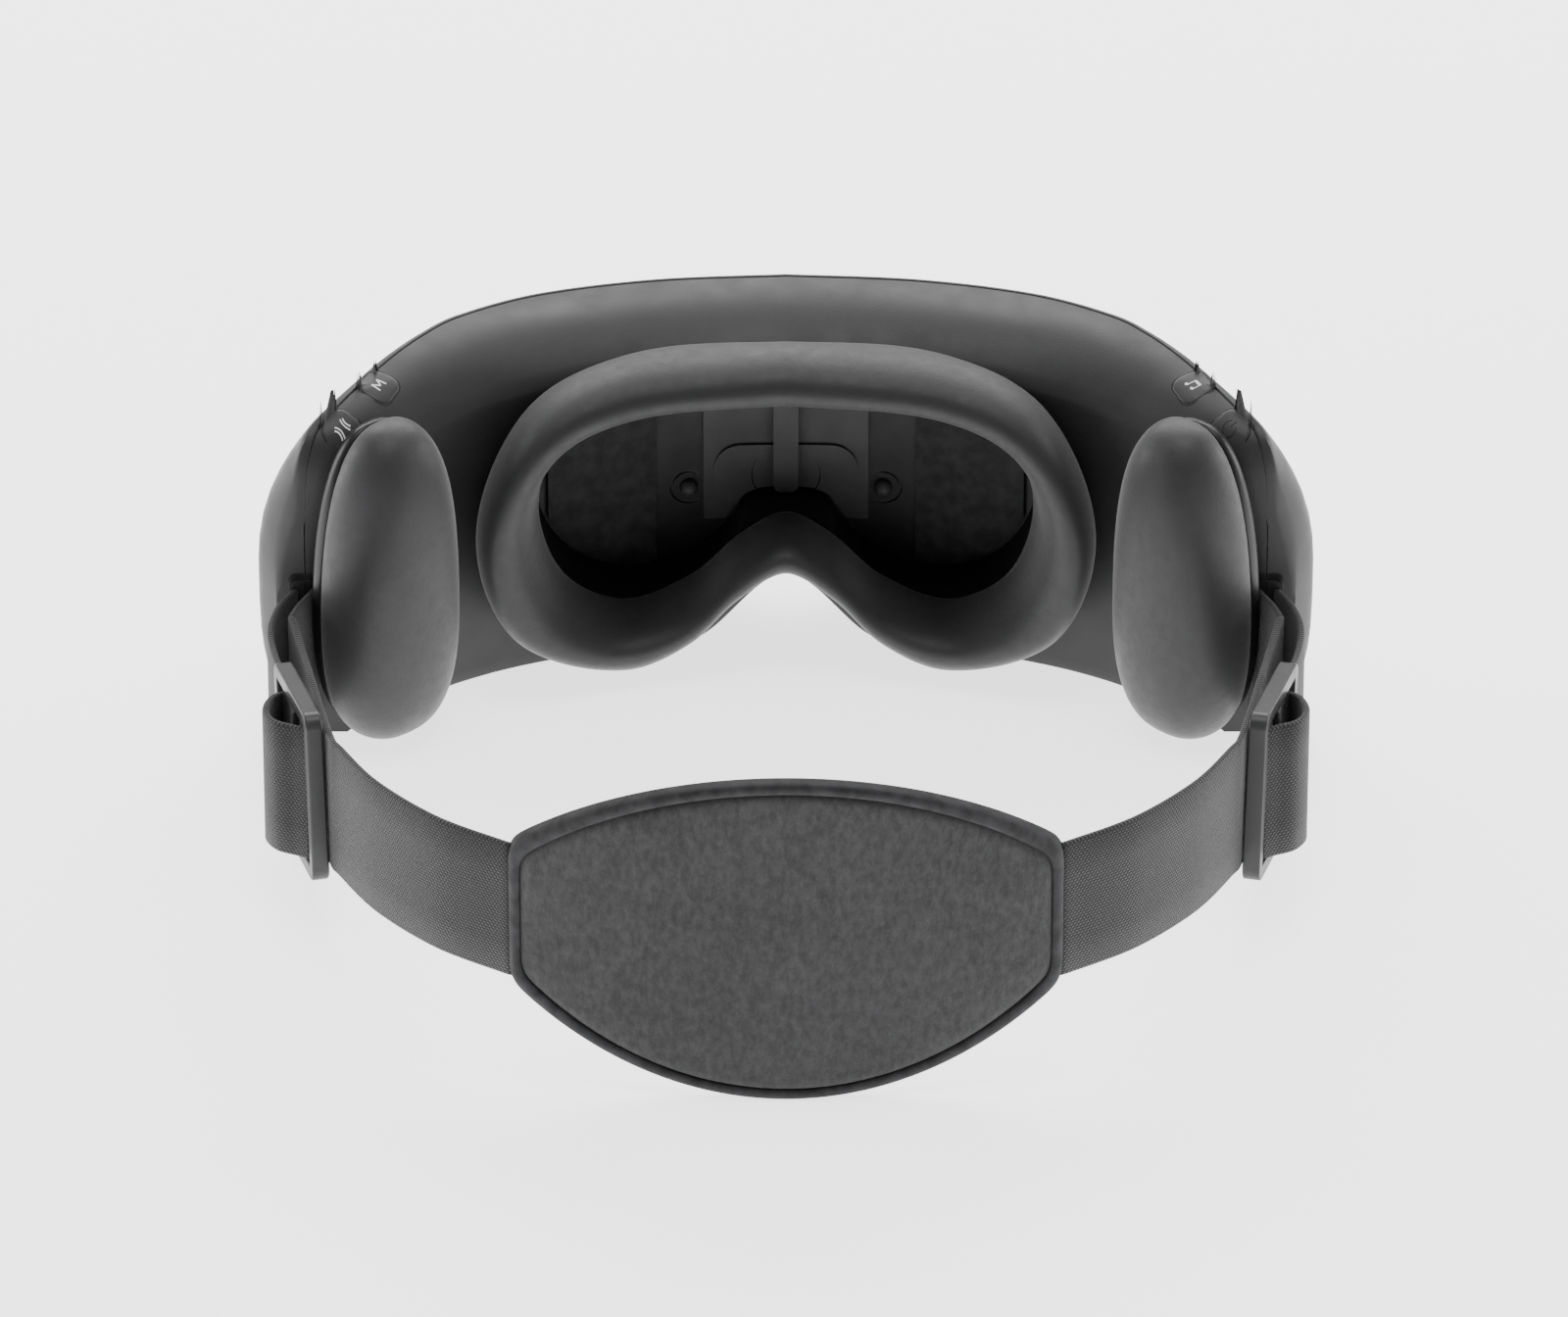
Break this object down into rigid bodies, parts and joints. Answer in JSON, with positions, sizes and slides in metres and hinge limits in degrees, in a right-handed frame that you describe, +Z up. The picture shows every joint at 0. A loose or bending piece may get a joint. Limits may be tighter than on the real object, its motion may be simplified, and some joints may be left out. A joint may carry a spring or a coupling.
{
  "type": "eye massager mask",
  "caption": "Wrap-round eye massager goggles with a face cushion, temple cushions, push buttons and an adjustable elastic head strap.",
  "frame": {"origin": "centre of the bounding box at the underside that the mask rests on", "axes": "+X towards the wearer's right as seen from behind, +Y towards the front of the visor, +Z up"},
  "size_m": [0.2166, 0.2096, 0.075],
  "materials": {
    "shell_front": "fine satin grain",
    "shell_rear": "fine satin grain",
    "liner": "smooth",
    "centre_panel": "smooth",
    "latch_seat": "smooth",
    "latch": "smooth",
    "frame_ring": "smooth",
    "face_cushion": "soft protein leather",
    "heat_panel": "fine texture",
    "dome": "smooth",
    "temple_plate": "smooth",
    "temple_pad": "soft protein leather",
    "button": "satin",
    "webbing": "woven elastic",
    "buckle": "satin",
    "pad_panel": "sueded",
    "pad_binding": "folded binding",
    "pad_backing": "sueded",
    "pad_foam": "foam",
    "pin_metal": "ground",
    "screw_metal": "black zinc",
    "motor_metal": "plain",
    "port_metal": "plain",
    "circuit_board": "solder mask",
    "battery": "film wrapped",
    "internal_plastic": "plain",
    "hose": "silicone"
  },
  "bodies": {
    "mask": {"air_hose": "hose", "air_valve": "internal_plastic", "battery": "battery", "centre_panel": "centre_panel", "charging_port": "port_metal", "cushion_frame": "frame_ring", "face_cushion": "face_cushion", "front_cover": "shell_front", "housing_screw_1": "screw_metal", "housing_screw_2": "screw_metal", "housing_screw_3": "screw_metal", "housing_screw_4": "screw_metal", "inner_liner": "liner", "latch_seat": "latch_seat", "left_air_pump": "motor_metal", "left_button_board": "circuit_board", "left_dome": "dome", "left_front_switch": "internal_plastic", "left_heat_panel": "heat_panel", "left_rear_switch": "internal_plastic", "left_speaker": "internal_plastic", "left_strap_pin": "pin_metal", "left_temple_pad": "temple_pad", "left_temple_plate": "temple_plate", "main_board": "circuit_board", "pill_cover": "centre_panel", "rear_housing": "shell_rear", "right_air_pump": "motor_metal", "right_button_board": "circuit_board", "right_dome": "dome", "right_front_switch": "internal_plastic", "right_heat_panel": "heat_panel", "right_rear_switch": "internal_plastic", "right_speaker": "internal_plastic", "right_strap_pin": "pin_metal", "right_temple_pad": "temple_pad", "right_temple_plate": "temple_plate", "vibration_motor": "motor_metal"},
    "strap": {"left_front_loop": "webbing", "left_webbing": "webbing", "right_front_loop": "webbing", "right_webbing": "webbing", "rear_pad_core": "pad_foam", "rear_pad_panel": "pad_panel", "rear_pad_binding": "pad_binding", "rear_pad_backing": "pad_backing"},
    "latch": {"centre_latch": "latch"},
    "mode_button_body": {"mode_button": "button"},
    "squeeze_button_body": {"squeeze_button": "button"},
    "music_button_body": {"music_button": "button"},
    "power_button_body": {"power_button": "button"},
    "left_buckle_body": {"left_buckle": "buckle", "left_webbing_fold": "webbing"},
    "right_buckle_body": {"right_buckle": "buckle", "right_webbing_fold": "webbing"}
  },
  "joints": [
    {"name": "strap_tilt", "type": "hinge", "parent": "mask", "child": "strap", "pos_m": [0, 0.0448, 0.019], "axis": [1, 0, 0], "range_deg": [-25, 15], "deforming": ["left_front_loop", "right_front_loop"]},
    {"name": "latch_flex", "type": "hinge", "parent": "mask", "child": "latch", "pos_m": [0, 0.0878, 0.056], "axis": [-1, 0, 0], "range_deg": [0, 8], "stiffness_Nm_per_rad": 0.05},
    {"name": "mode_button_press", "type": "slide", "parent": "mask", "child": "mode_button_body", "axis": [0, 0, -1], "range_m": [0, 0.0006], "stiffness_N_per_m": 1500},
    {"name": "squeeze_button_press", "type": "slide", "parent": "mask", "child": "squeeze_button_body", "axis": [0, 0, -1], "range_m": [0, 0.0006], "stiffness_N_per_m": 1500},
    {"name": "music_button_press", "type": "slide", "parent": "mask", "child": "music_button_body", "axis": [0, 0, -1], "range_m": [0, 0.0006], "stiffness_N_per_m": 1500},
    {"name": "power_button_press", "type": "slide", "parent": "mask", "child": "power_button_body", "axis": [0, 0, -1], "range_m": [0, 0.0006], "stiffness_N_per_m": 1500},
    {"name": "left_buckle_slide", "type": "slide", "parent": "strap", "child": "left_buckle_body", "axis": [-0.1586, 0.979, -0.1279], "range_m": [0, 0.012], "deforming": ["left_front_loop"]},
    {"name": "right_buckle_slide", "type": "slide", "parent": "strap", "child": "right_buckle_body", "axis": [0.1586, 0.979, -0.1279], "range_m": [0, 0.012], "deforming": ["right_front_loop"]}
  ]
}
